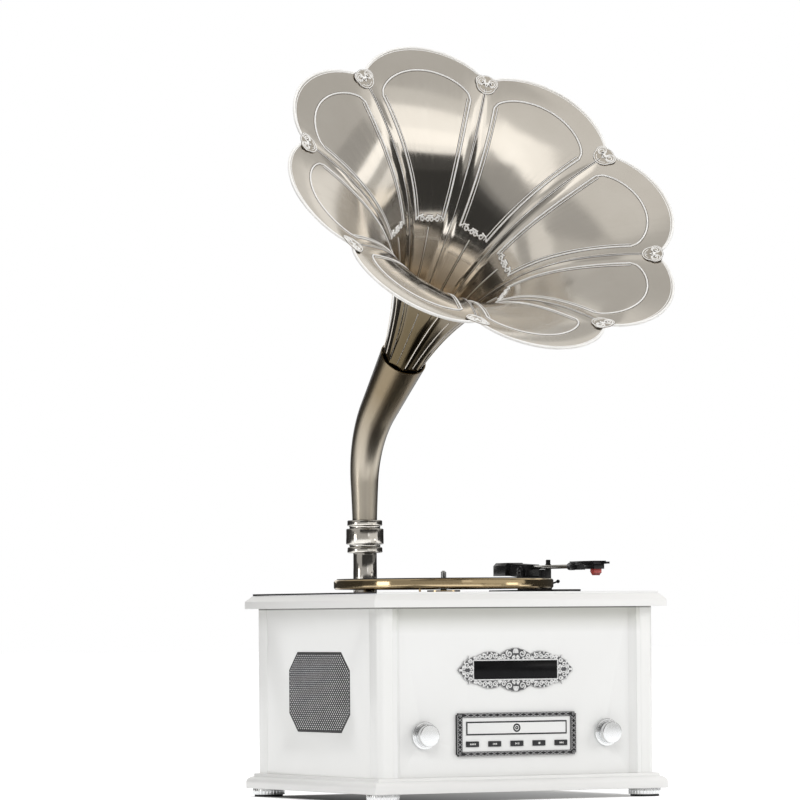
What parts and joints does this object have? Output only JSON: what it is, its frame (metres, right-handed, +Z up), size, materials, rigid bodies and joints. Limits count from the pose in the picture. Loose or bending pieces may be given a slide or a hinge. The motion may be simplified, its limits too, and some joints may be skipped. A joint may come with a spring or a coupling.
{
  "type": "record player with petal horn",
  "caption": "White lacquered table record player with a swivelling nickel petal horn, disc drawer, display, side loudspeakers and light tonearm.",
  "frame": {"origin": "centre of the cabinet's footprint on the floor", "axes": "+X to the right seen from the front, +Y to the back, +Z up; the front with the display faces -Y"},
  "size_m": [0.5598, 0.5493, 0.9986],
  "materials": {
    "white_lacquer": "gloss lacquer, warm white",
    "white_panel": "gloss",
    "chrome": "satin chrome",
    "mirror_plate": "polished",
    "brushed_nickel": "brushed nickel",
    "dark_nickel": "dark nickel",
    "antique_silver": "antique silver",
    "dark_silver": "dark silver",
    "black_net": "woven net with bright dots",
    "black_window": "gloss",
    "dark_keys": "satin",
    "brass": "pale turned brass",
    "black_rubber": "matte",
    "arm_black": "satin",
    "bright_tube": "polished",
    "red_stylus": "gloss",
    "steel": "zinc plated",
    "circuit_board": "satin",
    "grey_plastic": "satin",
    "black_plastic": "matte",
    "cone_paper": "paper cone"
  },
  "bodies": {
    "cabinet": {"feet": "chrome", "foot_pads": "black_rubber", "base_board": "white_lacquer", "corner_posts": "white_lacquer", "left_side": "white_lacquer", "right_side": "white_lacquer", "front_panel": "white_lacquer", "back_panel": "white_lacquer", "top_board": "white_lacquer", "deck_plate": "mirror_plate", "left_grille": "black_net", "right_grille": "black_net", "speaker_frames": "steel", "speaker_cones": "cone_paper", "display_surround": "antique_silver", "display_window": "black_window", "display_board": "circuit_board", "control_bezel": "dark_silver", "control_panel": "white_panel", "button_board": "circuit_board", "cd_chassis": "steel", "knob_rings": "chrome", "knob_controls": "steel", "bearing_housing": "brass", "motor": "steel", "drive_belt": "black_rubber", "tonearm_base": "arm_black", "arm_rest": "arm_black", "horn_post": "brushed_nickel", "main_board": "circuit_board", "transformer": "steel", "power_inlet": "black_plastic", "audio_sockets": "grey_plastic", "case_screws": "steel"},
    "turntable": {"platter": "brass", "platter_mat": "black_rubber", "spindle": "chrome"},
    "motor_rotor": {"motor_pulley": "brass"},
    "arm_turret": {"arm_pivot": "arm_black"},
    "tonearm": {"arm_weight": "arm_black", "arm_tube": "bright_tube", "headshell": "arm_black", "cartridge": "arm_black", "stylus": "red_stylus"},
    "cue_lever": {"cue_lever": "arm_black"},
    "cd_drawer": {"cd_tray": "grey_plastic", "tray_front": "white_panel"},
    "source_button": {"source_button": "dark_keys"},
    "previous_button": {"previous_button": "dark_keys"},
    "play_button": {"play_button": "dark_keys"},
    "stop_button": {"stop_button": "dark_keys"},
    "next_button": {"next_button": "dark_keys"},
    "volume_knob": {"volume_knob": "chrome"},
    "tuning_knob": {"tuning_knob": "chrome"},
    "horn_arm": {"horn_collar": "brushed_nickel", "elbow": "brushed_nickel", "horn_driver": "steel"},
    "horn": {"horn_neck": "dark_nickel", "horn_petals": "brushed_nickel", "horn_medallions": "brushed_nickel"}
  },
  "joints": [
    {"name": "platter_spin", "type": "hinge", "parent": "cabinet", "child": "turntable", "pos_m": [-0.023, -0.013, 0.28], "axis": [0, 0, -1], "continuous": true},
    {"name": "pulley_spin", "type": "hinge", "parent": "cabinet", "child": "motor_rotor", "pos_m": [-0.10432, -0.09432, 0.28], "axis": [0, 0, -1], "continuous": true},
    {"name": "arm_swing", "type": "hinge", "parent": "cabinet", "child": "arm_turret", "pos_m": [0.157, 0.072, 0.28], "axis": [0, 0, -1], "range_deg": [0, 44.5]},
    {"name": "arm_lift", "type": "hinge", "parent": "arm_turret", "child": "tonearm", "pos_m": [0.157, 0.072, 0.2978], "axis": [-0.9962, 0.0872, 0], "range_deg": [0, 12]},
    {"name": "cue_turn", "type": "hinge", "parent": "cabinet", "child": "cue_lever", "pos_m": [0.171, 0.042, 0.281], "axis": [-1, 0, 0], "range_deg": [0, 50]},
    {"name": "volume_spin", "type": "hinge", "parent": "cabinet", "child": "volume_knob", "pos_m": [-0.1373, -0.161, 0.0854], "axis": [0, -1, 0], "range_deg": [-300, 0]},
    {"name": "tuning_spin", "type": "hinge", "parent": "cabinet", "child": "tuning_knob", "pos_m": [0.1373, -0.161, 0.0854], "axis": [0, -1, 0], "continuous": true},
    {"name": "tray_slide", "type": "slide", "parent": "cabinet", "child": "cd_drawer", "axis": [0, -1, 0], "range_m": [0, 0.13]},
    {"name": "horn_swivel", "type": "hinge", "parent": "cabinet", "child": "horn_arm", "pos_m": [-0.052, 0.1525, 0.334], "axis": [0, 0, 1], "range_deg": [-90, 90]},
    {"name": "horn_pull", "type": "slide", "parent": "horn_arm", "child": "horn", "axis": [0, -0.7254, 0.6884], "range_m": [0, 0.035]},
    {"name": "source_press", "type": "slide", "parent": "cabinet", "child": "source_button", "axis": [0, 1, 0], "range_m": [0, 0.0014], "stiffness_N_per_m": 300},
    {"name": "previous_press", "type": "slide", "parent": "cabinet", "child": "previous_button", "axis": [0, 1, 0], "range_m": [0, 0.0014], "stiffness_N_per_m": 300},
    {"name": "play_press", "type": "slide", "parent": "cabinet", "child": "play_button", "axis": [0, 1, 0], "range_m": [0, 0.0014], "stiffness_N_per_m": 300},
    {"name": "stop_press", "type": "slide", "parent": "cabinet", "child": "stop_button", "axis": [0, 1, 0], "range_m": [0, 0.0014], "stiffness_N_per_m": 300},
    {"name": "next_press", "type": "slide", "parent": "cabinet", "child": "next_button", "axis": [0, 1, 0], "range_m": [0, 0.0014], "stiffness_N_per_m": 300}
  ],
  "couplings": [
    {"joint": "pulley_spin", "follows": "platter_spin", "ratio": 15}
  ]
}
